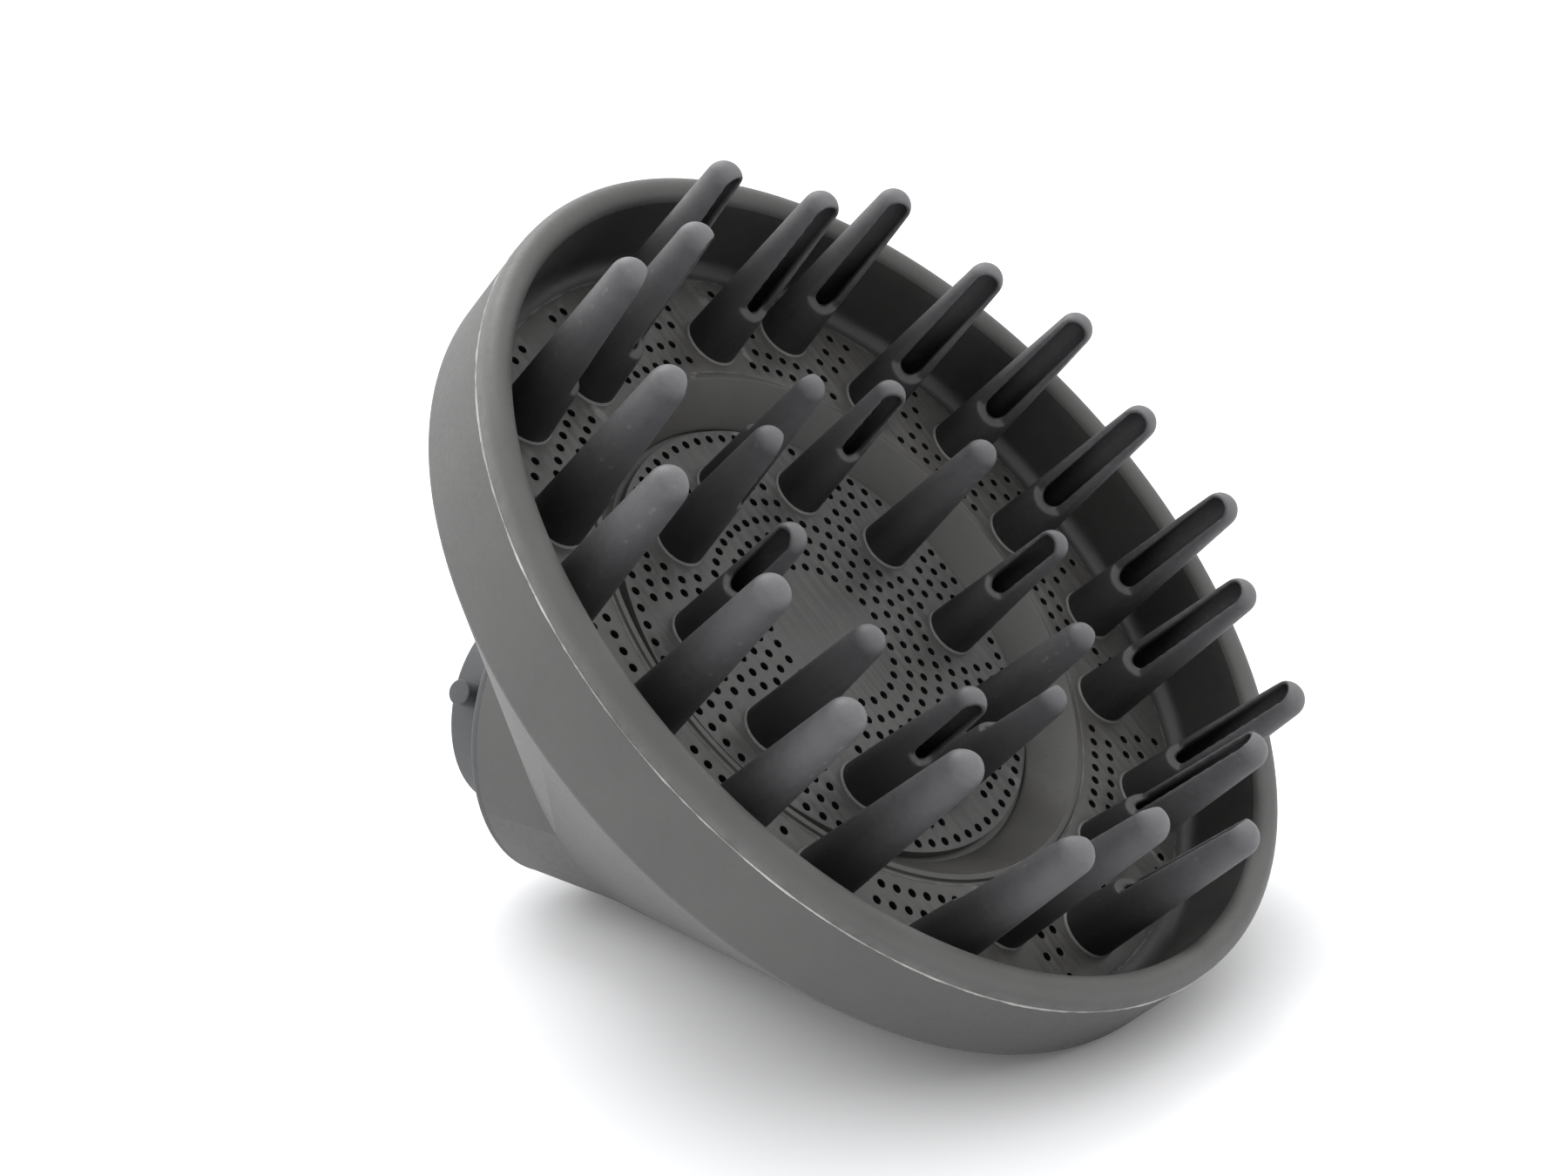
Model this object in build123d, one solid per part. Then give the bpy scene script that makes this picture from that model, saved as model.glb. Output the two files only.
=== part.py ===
from build123d import *
import math
import os

# Hair dryer diffuser: a shallow round bowl full of hollow air fingers, on a conical
# housing whose angled neck ends in a bayonet collar.
#
# Two frames are used, both in millimetres.
# Dish frame: origin on the dish axis at the joint between the bowl's lip and the band,
# +Z out of the open bowl, +X towards the side that the neck leans to.
# Row frame: origin on the neck axis at the collar's shoulder, +X along the neck axis
# into the part, +Z up, and the plane of symmetry is XZ.

# Rear housing: band, cone and neck
BAND_RADIUS = 85.0
BAND_REAR_RADIUS = 84.3
BAND_REAR_Z = -15.8
CONE_HALF_ANGLE = 43.5
CONE_END_Z = -82.3
SHELL_WALL = 2.0
NECK_TILT = CONE_HALF_ANGLE
NECK_CROSSING_Z = -56.2
NECK_ROOT_RADIUS = 33.1
NECK_END_RADIUS = 29.8
NECK_LENGTH = 31.0
NECK_WALL = 2.2

# Collar sleeve, measured along the neck axis from the crossing with the dish axis
SHOULDER_THICKNESS = 1.4
SHOULDER_ROUNDING = 0.6
SPIGOT_LENGTH = 5.0
SPIGOT_CLEARANCE = 0.15
SPIGOT_WALL = 1.8
COLLAR_RADIUS = 18.9
COLLAR_WALL = 2.0
COLLAR_LENGTH = 13.8
COLLAR_CHAMFER = 0.8
PEG_RADIUS = 2.4
PEG_HEIGHT = 4.0
PEG_SETBACK = 9.4
PEG_ANGLES = (24.5, 204.5)

# Front bowl: lip, wall, perforated floor, slope and ledge
LIP_INNER_RADIUS = 80.0
LIP_SIDE_Z = 1.9
LIP_CREST_Z = 4.3
WALL_OUTER_RADIUS = 81.4
WALL_INNER_RADIUS = 79.6
FLOOR_Z = -14.5
FLOOR_THICKNESS = 1.8
FLOOR_OUTER_RADIUS = 76.0
FLOOR_FIT = 0.05
FLOOR_INNER_RADIUS = 54.0
WALL_FILLET = 3.0
WALL_CHAMFER = 1.3
BEAD_OUTER_RADIUS = 53.4
BEAD_INNER_RADIUS = 52.1
BEAD_HEIGHT = 0.5
SLOPE_FOOT_RADIUS = 45.7
SLOPE_FOOT_Z = -21.0
LEDGE_RADIUS = 43.7
LEDGE_THICKNESS = 1.6

# Centre grille
GRILLE_RADIUS = 44.5
GRILLE_TOP_Z = -19.8
GRILLE_THICKNESS = 1.8

# Perforations: rows of round holes, as (radius, angles either side of the row's centre)
HOLE_RADIUS = 0.8
SECTORS = 10
SECTOR_ANGLE = 360.0 / SECTORS
FLOOR_ROWS = (
    (56.8, (0.0, 3.25, 6.5, 9.75)),
    (60.5, (1.55, 4.7, 7.8)),
    (64.8, (7.3, 10.5)),
    (68.7, (8.8, 12.0)),
    (73.3, (9.8, 12.9)),
)
GRILLE_ROWS = (
    (28.5, (0.0, 6.1)),
    (32.0, (2.6,)),
    (35.6, (0.0, 5.1)),
    (39.15, (2.3, 6.8)),
)
GRILLE_RINGS = ((14.4, 27), (18.0, 34), (21.2, 40), (24.8, 52), (42.75, 78))

# Air fingers: a cone with a domed tip, hollow, with a channel open towards the dish axis
FINGER_TIP_COVER = 1.25
FINGER_LEDGE_DROP = 1.3
SLOT_BELOW_LEDGE = 0.5
CAVITY_FOOT_RATIO = 0.5
CAVITY_TIP_RATIO = 0.76
FINGER_SHOULDER = 0.45
FINGER_FIT = 0.05
FINGER_SPIGOT_EXTRA = 0.6
SPIGOT_BORE_WALL = 1.25
SLOT_TIP_RATIO = 1.3
CHANNEL_FOOT_RATIO = 0.53
CHANNEL_TIP_RATIO = 0.6


class Finger:
    """Sizes of one kind of air finger, in the dish frame."""

    def __init__(self, foot_r, foot_z, foot_radius, tip_r, tip_z, tip_radius, slot_z, plate):
        self.foot_r = foot_r
        self.foot_z = foot_z
        self.foot_radius = foot_radius
        self.tip_radius = tip_radius
        self.height = tip_z - foot_z
        self.lean = math.degrees(math.atan2(tip_r - foot_r, self.height))
        self.slot_foot = slot_z - foot_z
        self.slot_head = self.height + tip_radius - FINGER_TIP_COVER
        self.slot_width = SLOT_TIP_RATIO * tip_radius
        self.spigot_radius = foot_radius - FINGER_SHOULDER
        self.spigot_length = plate + FINGER_SPIGOT_EXTRA


OUTER_ODD = Finger(68.0, FLOOR_Z, 5.2, 70.6, 20.5, 3.35, -2.7, FLOOR_THICKNESS)
OUTER_EVEN = Finger(61.0, FLOOR_Z, 5.2, 63.4, 20.6, 3.35, -2.7, FLOOR_THICKNESS)
INNER = Finger(32.5, GRILLE_TOP_Z, 4.8, 33.8, 7.7, 3.0, -5.2, GRILLE_THICKNESS)
OUTER_COUNT = 20
INNER_COUNT = 10


def tan(angle):
    """Tangent of an angle in degrees."""
    return math.tan(math.radians(angle))


def row_plane():
    """The row frame's XY plane, as seen from the dish frame."""
    tilt = math.radians(NECK_TILT)
    along = NECK_LENGTH + SHOULDER_THICKNESS
    origin = (along * math.sin(tilt), 0, NECK_CROSSING_Z - along * math.cos(tilt))
    x_dir = (-math.sin(tilt), 0, math.cos(tilt))
    z_dir = (math.cos(tilt), 0, math.sin(tilt))
    return Plane(origin=origin, x_dir=x_dir, z_dir=z_dir)


def neck_plane(along):
    """A plane across the neck axis, `along` mm past its crossing with the dish axis."""
    tilt = math.radians(NECK_TILT)
    outward = (math.sin(tilt), 0, -math.cos(tilt))
    origin = (along * outward[0], 0, NECK_CROSSING_Z + along * outward[2])
    return Plane(origin=origin, x_dir=(0, 1, 0), z_dir=outward)


def revolved(wire):
    """Solid of revolution about the dish axis from a closed outline in the XZ plane."""
    return revolve(make_face(wire), axis=Axis.Z, revolution_arc=360)


def outline(points):
    """Closed outline of straight lines through (radius, z) points."""
    return Polyline([(r, 0, z) for r, z in points], close=True)


def frustum(plane, foot_radius, tip_radius, height):
    """Round solid that stands on a plane and narrows along its normal."""
    return plane * Cone(foot_radius, tip_radius, height, align=(Align.CENTER, Align.CENTER, Align.MIN))


def cone_radius(z):
    """Outer radius of the housing's cone at a height in the dish frame."""
    return BAND_REAR_RADIUS + (z - BAND_REAR_Z) * tan(CONE_HALF_ANGLE)


def dish_blank(inset):
    """Solid of the band and cone, moved inwards by a wall thickness."""
    slant = inset / math.cos(math.radians(CONE_HALF_ANGLE))
    band_slope = (BAND_RADIUS - BAND_REAR_RADIUS) / -BAND_REAR_Z
    corner_z = BAND_REAR_Z + (slant - inset) / (tan(CONE_HALF_ANGLE) - band_slope)
    end_z = CONE_END_Z + inset
    return revolved(outline([
        (0, 0),
        (BAND_RADIUS - inset, 0),
        (BAND_RADIUS - inset + band_slope * corner_z, corner_z),
        (cone_radius(end_z) - slant, end_z),
        (0, end_z),
    ]))


def housing_moulding():
    """Band, cone and angled neck, all hollow."""
    beyond_neck = collar_blank(2 * NECK_END_RADIUS, NECK_LENGTH, 2 * NECK_LENGTH)
    neck = frustum(neck_plane(0), NECK_ROOT_RADIUS, NECK_END_RADIUS, NECK_LENGTH)
    duct = frustum(neck_plane(0), NECK_ROOT_RADIUS - NECK_WALL, NECK_END_RADIUS - NECK_WALL, NECK_LENGTH)
    return (dish_blank(0) + neck) - dish_blank(SHELL_WALL) - duct - beyond_neck


def band_room():
    """Everything in front of the plane where the band meets the cone."""
    height = -2 * BAND_REAR_Z
    disc = Cylinder(2 * BAND_RADIUS, height, align=(Align.CENTER, Align.CENTER, Align.MIN))
    return Pos(0, 0, BAND_REAR_Z) * disc


def housing_band(moulding):
    """The short side wall that carries the bowl."""
    return moulding & band_room()


def rear_housing(moulding):
    """The cone and the angled neck behind the band."""
    return moulding - band_room()


def collar_blank(radius, start, length):
    """Cylinder on the neck axis."""
    return neck_plane(start) * Cylinder(radius, length, align=(Align.CENTER, Align.CENTER, Align.MIN))


def collar_pegs():
    """Short round bayonet pegs that stand out of the collar."""
    plane = neck_plane(NECK_LENGTH + SHOULDER_THICKNESS + PEG_SETBACK)
    reach = COLLAR_RADIUS + PEG_HEIGHT
    peg = Cylinder(PEG_RADIUS, PEG_HEIGHT + COLLAR_WALL, align=(Align.CENTER, Align.CENTER, Align.MAX))
    placed = Location((reach, 0, 0), (0, 90, 0)) * peg
    return [plane * (Rot(0, 0, angle) * placed) for angle in PEG_ANGLES]


def collar_sleeve():
    """Shoulder disc, spigot inside the neck, and the collar with its pegs."""
    shoulder = collar_blank(NECK_END_RADIUS, NECK_LENGTH, SHOULDER_THICKNESS)
    rim = shoulder.edges().filter_by(GeomType.CIRCLE).sort_by(Axis(neck_plane(0).origin, neck_plane(0).z_dir))[-1]
    shoulder = fillet(rim, SHOULDER_ROUNDING)
    spigot_radius = NECK_END_RADIUS - NECK_WALL - SPIGOT_CLEARANCE
    spigot = collar_blank(spigot_radius, NECK_LENGTH - SPIGOT_LENGTH, SPIGOT_LENGTH)
    hollow = collar_blank(spigot_radius - SPIGOT_WALL, NECK_LENGTH - SPIGOT_LENGTH, SPIGOT_LENGTH)
    start = NECK_LENGTH + SHOULDER_THICKNESS
    collar = collar_blank(COLLAR_RADIUS, start, COLLAR_LENGTH - COLLAR_CHAMFER)
    lead = frustum(
        neck_plane(start + COLLAR_LENGTH - COLLAR_CHAMFER),
        COLLAR_RADIUS,
        COLLAR_RADIUS - COLLAR_CHAMFER,
        COLLAR_CHAMFER,
    )
    bore = collar_blank(COLLAR_RADIUS - COLLAR_WALL, NECK_LENGTH, SHOULDER_THICKNESS + COLLAR_LENGTH)
    sleeve = shoulder + spigot + collar + lead
    for peg in collar_pegs():
        sleeve = sleeve + peg
    return sleeve - hollow - bore


def bowl_rim():
    """Rolled lip and the bowl's wall, down to the edge of the perforated floor."""
    underside = FLOOR_Z - FLOOR_THICKNESS
    lip_middle = (BAND_RADIUS + LIP_INNER_RADIUS) / 2
    fillet_mid = WALL_FILLET * (1 - math.sqrt(0.5))
    outside = Polyline([
        (FLOOR_OUTER_RADIUS, 0, FLOOR_Z),
        (FLOOR_OUTER_RADIUS, 0, underside),
        (WALL_OUTER_RADIUS - WALL_CHAMFER, 0, underside),
        (WALL_OUTER_RADIUS, 0, underside + WALL_CHAMFER),
        (WALL_OUTER_RADIUS, 0, 0),
        (BAND_RADIUS, 0, 0),
        (BAND_RADIUS, 0, LIP_SIDE_Z),
    ])
    roll = ThreePointArc(
        (BAND_RADIUS, 0, LIP_SIDE_Z),
        (lip_middle, 0, LIP_CREST_Z),
        (LIP_INNER_RADIUS, 0, LIP_SIDE_Z),
    )
    inside = Polyline([
        (LIP_INNER_RADIUS, 0, LIP_SIDE_Z),
        (WALL_INNER_RADIUS, 0, 0),
        (WALL_INNER_RADIUS, 0, FLOOR_Z + WALL_FILLET),
    ])
    corner = ThreePointArc(
        (WALL_INNER_RADIUS, 0, FLOOR_Z + WALL_FILLET),
        (WALL_INNER_RADIUS - fillet_mid, 0, FLOOR_Z + fillet_mid),
        (WALL_INNER_RADIUS - WALL_FILLET, 0, FLOOR_Z),
    )
    foot = Line((WALL_INNER_RADIUS - WALL_FILLET, 0, FLOOR_Z), (FLOOR_OUTER_RADIUS, 0, FLOOR_Z))
    return revolved(Wire([*outside.edges(), roll, *inside.edges(), corner, foot]))


def slope_and_ledge():
    """Thin raised bead, the slope down to the centre, and the ledge under the grille."""
    underside = FLOOR_Z - FLOOR_THICKNESS
    ledge_top = GRILLE_TOP_Z - GRILLE_THICKNESS
    bead_top = FLOOR_Z + BEAD_HEIGHT
    return revolved(outline([
        (FLOOR_INNER_RADIUS, FLOOR_Z),
        (BEAD_OUTER_RADIUS, FLOOR_Z),
        (BEAD_OUTER_RADIUS - BEAD_HEIGHT / 2, bead_top),
        (BEAD_INNER_RADIUS, bead_top),
        (SLOPE_FOOT_RADIUS, SLOPE_FOOT_Z),
        (SLOPE_FOOT_RADIUS, ledge_top),
        (LEDGE_RADIUS, ledge_top),
        (LEDGE_RADIUS, ledge_top - LEDGE_THICKNESS),
        (SLOPE_FOOT_RADIUS + LEDGE_THICKNESS / 2, ledge_top - LEDGE_THICKNESS),
        (BEAD_OUTER_RADIUS, underside),
        (FLOOR_INNER_RADIUS, underside),
    ]))


def mirrored(angles):
    """Each angle and its mirror image, with zero only once."""
    return sorted({sign * angle for angle in angles for sign in (-1, 1)})


def polar(radius, angle):
    """Point at a radius and an angle in degrees."""
    return (radius * math.cos(math.radians(angle)), radius * math.sin(math.radians(angle)))


def row_holes(rows, first_angle):
    """Centres of the perforations that repeat in each sector."""
    return [
        polar(radius, first_angle + sector * SECTOR_ANGLE + angle)
        for sector in range(SECTORS)
        for radius, angles in rows
        for angle in mirrored(angles)
    ]


def ring_holes(rings):
    """Centres of the perforations in full rings."""
    return [
        polar(radius, 360.0 * index / count)
        for radius, count in rings
        for index in range(count)
    ]


def plate(radius, top_z, thickness, holes, sockets, socket_radius):
    """Flat round plate with perforations and finger sockets."""
    face = Circle(radius)
    face = face - [Pos(x, y) * Circle(HOLE_RADIUS) for x, y in holes]
    face = face - [Pos(x, y) * Circle(socket_radius) for x, y in sockets]
    return extrude(Plane.XY.offset(top_z) * face, amount=-thickness)


def outer_finger_angle(index):
    """Angle of an outer finger round the dish axis, in degrees."""
    return -index * 360.0 / OUTER_COUNT


def inner_finger_angle(index):
    """Angle of an inner finger round the dish axis, in degrees."""
    return -index * 360.0 / INNER_COUNT


def outer_finger(index):
    """Sizes of an outer finger: they stand in and out by turns."""
    return OUTER_EVEN if index % 2 else OUTER_ODD


def bowl_floor():
    """Perforated floor with finger sockets, the slope and the ledge."""
    sockets = [polar(outer_finger(i).foot_r, outer_finger_angle(i)) for i in range(OUTER_COUNT)]
    floor = plate(
        FLOOR_OUTER_RADIUS - FLOOR_FIT,
        FLOOR_Z,
        FLOOR_THICKNESS,
        row_holes(FLOOR_ROWS, 0),
        sockets,
        OUTER_ODD.spigot_radius + FINGER_FIT,
    )
    floor = floor - Pos(0, 0, FLOOR_Z) * Cylinder(FLOOR_INNER_RADIUS, 4 * FLOOR_THICKNESS)
    return floor + slope_and_ledge()


def centre_grille():
    """Perforated disc on the ledge, with the sockets of the inner fingers."""
    sockets = [polar(INNER.foot_r, inner_finger_angle(i)) for i in range(INNER_COUNT)]
    holes = row_holes(GRILLE_ROWS, SECTOR_ANGLE / 2) + ring_holes(GRILLE_RINGS)
    return plate(
        GRILLE_RADIUS,
        GRILLE_TOP_Z,
        GRILLE_THICKNESS,
        holes,
        sockets,
        INNER.spigot_radius + FINGER_FIT,
    )


def domed_cone(foot_radius, tip_radius, height, below):
    """Cone that runs smoothly into a ball at its tip, from `below` mm under its foot."""
    reach = math.hypot(foot_radius, height)
    alpha = math.acos(tip_radius / reach) - math.atan2(height, foot_radius)
    tangent = (tip_radius * math.cos(alpha), height + tip_radius * math.sin(alpha))
    middle = (math.pi / 2 + alpha) / 2
    side = Polyline([
        (0, 0, -below),
        (foot_radius + below * math.tan(alpha), 0, -below),
        (tangent[0], 0, tangent[1]),
    ])
    dome = ThreePointArc(
        (tangent[0], 0, tangent[1]),
        (tip_radius * math.cos(middle), 0, height + tip_radius * math.sin(middle)),
        (0, 0, height + tip_radius),
    )
    core = Line((0, 0, height + tip_radius), (0, 0, -below))
    return revolved(Wire([*side.edges(), dome, core]))


def channel_cutter(finger):
    """What is taken off the side towards the dish axis, above the sloping ledge."""
    foot_x = -finger.foot_radius * CHANNEL_FOOT_RATIO
    tip_x = -finger.tip_radius * CHANNEL_TIP_RATIO
    top = finger.height + 2 * finger.tip_radius
    tip_reach = foot_x + (tip_x - foot_x) * (top - finger.slot_foot) / (finger.height - finger.slot_foot)
    far = 3 * finger.foot_radius
    drop = FINGER_LEDGE_DROP * (far + foot_x) / (finger.foot_radius * 0.9 + foot_x)
    face = outline([
        (foot_x, finger.slot_foot),
        (tip_reach, top),
        (-far, top),
        (-far, finger.slot_foot - drop),
    ])
    return extrude(make_face(face), amount=far, both=True)


def slot_cutter(finger):
    """Straight slot with round ends, through the open side of the channel."""
    foot = finger.slot_foot - SLOT_BELOW_LEDGE
    length = finger.slot_head - foot
    profile = Rot(0, -90, 0) * SlotOverall(length, finger.slot_width)
    middle = (finger.slot_head + foot) / 2
    return Pos(0, 0, middle) * extrude(profile, amount=2 * finger.foot_radius)


def finger_solid(finger, faces_out=False):
    """One air finger, with its foot at the origin and its open side towards -X, or +X."""
    below = finger.foot_radius
    body = domed_cone(finger.foot_radius, finger.tip_radius, finger.height, below)
    cavity = domed_cone(
        finger.foot_radius * CAVITY_FOOT_RATIO,
        finger.tip_radius * CAVITY_TIP_RATIO,
        finger.height,
        below,
    )
    body = body - slot_cutter(finger) - cavity - channel_cutter(finger)
    if faces_out:
        body = Rot(0, 0, 180) * body
    body = Rot(0, finger.lean, 0) * body
    floor_cut = Pos(0, 0, -2 * below) * Box(8 * below, 8 * below, 4 * below)
    spigot = Cylinder(
        finger.spigot_radius,
        finger.spigot_length,
        align=(Align.CENTER, Align.CENTER, Align.MAX),
    )
    bore = Cylinder(finger.spigot_radius - SPIGOT_BORE_WALL, 2 * finger.spigot_length)
    return (body - floor_cut) + (spigot - bore)


def place_finger(solid, finger, angle):
    """Stands a finger at its radius and angle on the dish."""
    return Rot(0, 0, angle) * (Pos(finger.foot_r, 0, finger.foot_z) * solid)


def save(name, shape):
    """Writes one node in the row frame."""
    placed = shape.moved(row_plane().location.inverse())
    solids = placed.solids()
    result = solids[0] if len(solids) == 1 else Compound(children=list(solids))
    result.label = name
    export_step(result, f"parts/{name}.step")
    box = result.bounding_box()
    print(name, len(solids), round(result.volume), box.min, box.max)


def main():
    """Builds every node."""
    os.makedirs("parts", exist_ok=True)
    moulding = housing_moulding()
    save("rear_housing", rear_housing(moulding))
    save("housing_band", housing_band(moulding))
    save("collar_sleeve", collar_sleeve())
    save("bowl_rim", bowl_rim())
    save("bowl_floor", bowl_floor())
    save("centre_grille", centre_grille())
    outer_solids = {id(kind): finger_solid(kind) for kind in (OUTER_ODD, OUTER_EVEN)}
    for index in range(OUTER_COUNT):
        kind = outer_finger(index)
        placed = place_finger(outer_solids[id(kind)], kind, outer_finger_angle(index))
        save(f"outer_finger_{index + 1:02d}", placed)
    inner_solids = (finger_solid(INNER, faces_out=True), finger_solid(INNER))
    for index in range(INNER_COUNT):
        placed = place_finger(inner_solids[index % 2], INNER, inner_finger_angle(index))
        save(f"inner_finger_{index + 1:02d}", placed)


main()
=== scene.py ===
"""Hair dryer diffuser: looks, floor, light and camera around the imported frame."""
import logging
import math
import random
from dataclasses import dataclass, field
from enum import Enum

import bmesh
import bpy
from mathutils import Matrix, Vector


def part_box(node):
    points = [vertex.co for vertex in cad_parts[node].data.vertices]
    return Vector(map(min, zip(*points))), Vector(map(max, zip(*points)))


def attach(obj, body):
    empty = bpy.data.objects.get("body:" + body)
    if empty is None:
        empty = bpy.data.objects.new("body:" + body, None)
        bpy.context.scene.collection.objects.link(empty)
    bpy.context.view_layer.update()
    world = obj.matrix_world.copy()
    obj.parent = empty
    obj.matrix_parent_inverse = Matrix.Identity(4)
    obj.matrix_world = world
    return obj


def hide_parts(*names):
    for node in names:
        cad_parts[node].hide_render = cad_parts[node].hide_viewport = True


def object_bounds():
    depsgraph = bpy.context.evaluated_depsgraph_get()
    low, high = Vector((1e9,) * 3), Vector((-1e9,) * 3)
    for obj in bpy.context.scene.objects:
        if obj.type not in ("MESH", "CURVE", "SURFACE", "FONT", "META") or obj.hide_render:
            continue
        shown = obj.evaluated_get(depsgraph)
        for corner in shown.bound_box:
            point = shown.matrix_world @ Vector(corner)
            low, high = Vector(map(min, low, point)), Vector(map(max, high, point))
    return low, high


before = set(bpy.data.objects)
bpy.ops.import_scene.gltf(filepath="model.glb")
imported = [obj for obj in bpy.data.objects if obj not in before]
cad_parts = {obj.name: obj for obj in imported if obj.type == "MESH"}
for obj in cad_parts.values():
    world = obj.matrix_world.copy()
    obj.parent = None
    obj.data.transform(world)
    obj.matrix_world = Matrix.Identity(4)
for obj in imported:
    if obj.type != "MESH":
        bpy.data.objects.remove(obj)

CAD_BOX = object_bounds()
MM = 0.001
LOG = logging.getLogger("diffuser")

Point = tuple[float, float]

GRILLE_UNDERSIDE = -21.6
"""Height of the centre grille's underside in the dish frame, in mm."""
EDGE_CHAMFER = 1.3
"""Chamfer at the foot of the bowl wall, in mm."""
PEG_DRAFT = 0.1
"""How much wider a bayonet peg is at its root, in mm of radius."""
FINGER_LEAN = 0.06
"""How far a finger's middle moves outward for each unit of height."""
DOME_BLEND = 0.0012
"""Height in metres over which a finger's hollow gives way to its solid tip."""


class FingerKind(Enum):
    """The kinds of air finger, by the CAD node that is the pattern for each."""

    OUTER_FAR = "outer_finger_01"
    OUTER_NEAR = "outer_finger_02"
    INNER_OPEN_OUT = "inner_finger_01"
    INNER_OPEN_IN = "inner_finger_02"


# ---------------------------------------------------------------- node groups


class NodeGroup:
    """A shader node group with named sockets, built once and shared by materials."""

    def __init__(self, name: str) -> None:
        """Starts an empty group.

        Args:
            name: what the group does.
        """
        self.tree = bpy.data.node_groups.new(name, "ShaderNodeTree")
        self.source = self.tree.nodes.new("NodeGroupInput")
        self.sink = self.tree.nodes.new("NodeGroupOutput")

    def takes(self, name: str, kind: str, value: object) -> None:
        """Adds an input socket with a default value."""
        socket = self.tree.interface.new_socket(name, in_out="INPUT", socket_type=kind)
        socket.default_value = value

    def gives(self, name: str, kind: str) -> None:
        """Adds an output socket."""
        self.tree.interface.new_socket(name, in_out="OUTPUT", socket_type=kind)

    def add(self, kind: str, **settings: object) -> bpy.types.Node:
        """Adds a node and sets its properties."""
        node = self.tree.nodes.new(kind)
        for key, value in settings.items():
            setattr(node, key, value)
        return node

    def link(self, start: bpy.types.NodeSocket, end: bpy.types.NodeSocket) -> None:
        """Joins two sockets."""
        self.tree.links.new(start, end)

    def noise(self, scale: float, detail: float, rough: float) -> bpy.types.Node:
        """Adds a noise texture in the piece's own coordinates."""
        place = self.add("ShaderNodeTexCoord")
        node = self.add("ShaderNodeTexNoise")
        node.inputs["Scale"].default_value = scale
        node.inputs["Detail"].default_value = detail
        node.inputs["Roughness"].default_value = rough
        self.link(place.outputs["Object"], node.inputs["Vector"])
        return node

    def span(self, source: bpy.types.NodeSocket, low: float, high: float) -> bpy.types.Node:
        """Stretches a value between two limits to the range 0 to 1."""
        node = self.add("ShaderNodeMapRange", clamp=True)
        node.inputs["From Min"].default_value = low
        node.inputs["From Max"].default_value = high
        self.link(source, node.inputs["Value"])
        return node


def moulded_grain_group() -> bpy.types.ShaderNodeTree:
    """Fine spark-eroded grain with soft cloudy variation of colour.

    Returns:
        The group's node tree.
    """
    group = NodeGroup("moulded_grain")
    group.takes("Dark", "NodeSocketColor", (0.1, 0.1, 0.1, 1))
    group.takes("Light", "NodeSocketColor", (0.15, 0.15, 0.15, 1))
    group.takes("Base Roughness", "NodeSocketFloat", 0.6)
    group.gives("Color", "NodeSocketColor")
    group.gives("Roughness", "NodeSocketFloat")
    group.gives("Height", "NodeSocketFloat")
    clouds = group.noise(45.0, 5.0, 0.6)
    cloud_span = group.span(clouds.outputs["Fac"], 0.3, 0.7)
    flecks = group.noise(900.0, 3.0, 0.7)
    fleck_span = group.span(flecks.outputs["Fac"], 0.35, 0.75)
    blend = group.add("ShaderNodeMath", operation="MULTIPLY_ADD")
    blend.inputs[1].default_value = 0.28
    group.link(fleck_span.outputs["Result"], blend.inputs[0])
    group.link(cloud_span.outputs["Result"], blend.inputs[2])
    mix = group.add("ShaderNodeMix", data_type="RGBA")
    group.link(blend.outputs[0], mix.inputs["Factor"])
    group.link(group.source.outputs["Dark"], mix.inputs["A"])
    group.link(group.source.outputs["Light"], mix.inputs["B"])
    group.link(mix.outputs["Result"], group.sink.inputs["Color"])
    rough = group.add("ShaderNodeMath", operation="MULTIPLY_ADD")
    rough.inputs[1].default_value = 0.12
    group.link(fleck_span.outputs["Result"], rough.inputs[0])
    group.link(group.source.outputs["Base Roughness"], rough.inputs[2])
    group.link(rough.outputs[0], group.sink.inputs["Roughness"])
    grain = group.noise(2600.0, 2.0, 0.6)
    height = group.add("ShaderNodeMath", operation="MULTIPLY_ADD")
    height.inputs[1].default_value = 0.5
    group.link(grain.outputs["Fac"], height.inputs[0])
    group.link(flecks.outputs["Fac"], height.inputs[2])
    group.link(height.outputs[0], group.sink.inputs["Height"])
    return group.tree


def edge_wear_group() -> bpy.types.ShaderNodeTree:
    """Lightens outer edges, broken up by noise.

    Returns:
        The group's node tree.
    """
    group = NodeGroup("edge_wear")
    group.takes("Color", "NodeSocketColor", (0.1, 0.1, 0.1, 1))
    group.takes("Worn", "NodeSocketColor", (0.3, 0.3, 0.3, 1))
    group.takes("Amount", "NodeSocketFloat", 0.5)
    group.gives("Color", "NodeSocketColor")
    geometry = group.add("ShaderNodeNewGeometry")
    edges = group.span(geometry.outputs["Pointiness"], 0.52, 0.6)
    breaks = group.noise(260.0, 4.0, 0.65)
    patches = group.span(breaks.outputs["Fac"], 0.4, 0.62)
    broken = group.add("ShaderNodeMath", operation="MULTIPLY")
    group.link(edges.outputs["Result"], broken.inputs[0])
    group.link(patches.outputs["Result"], broken.inputs[1])
    amount = group.add("ShaderNodeMath", operation="MULTIPLY")
    group.link(broken.outputs[0], amount.inputs[0])
    group.link(group.source.outputs["Amount"], amount.inputs[1])
    mix = group.add("ShaderNodeMix", data_type="RGBA")
    group.link(amount.outputs[0], mix.inputs["Factor"])
    group.link(group.source.outputs["Color"], mix.inputs["A"])
    group.link(group.source.outputs["Worn"], mix.inputs["B"])
    group.link(mix.outputs["Result"], group.sink.inputs["Color"])
    return group.tree


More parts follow.
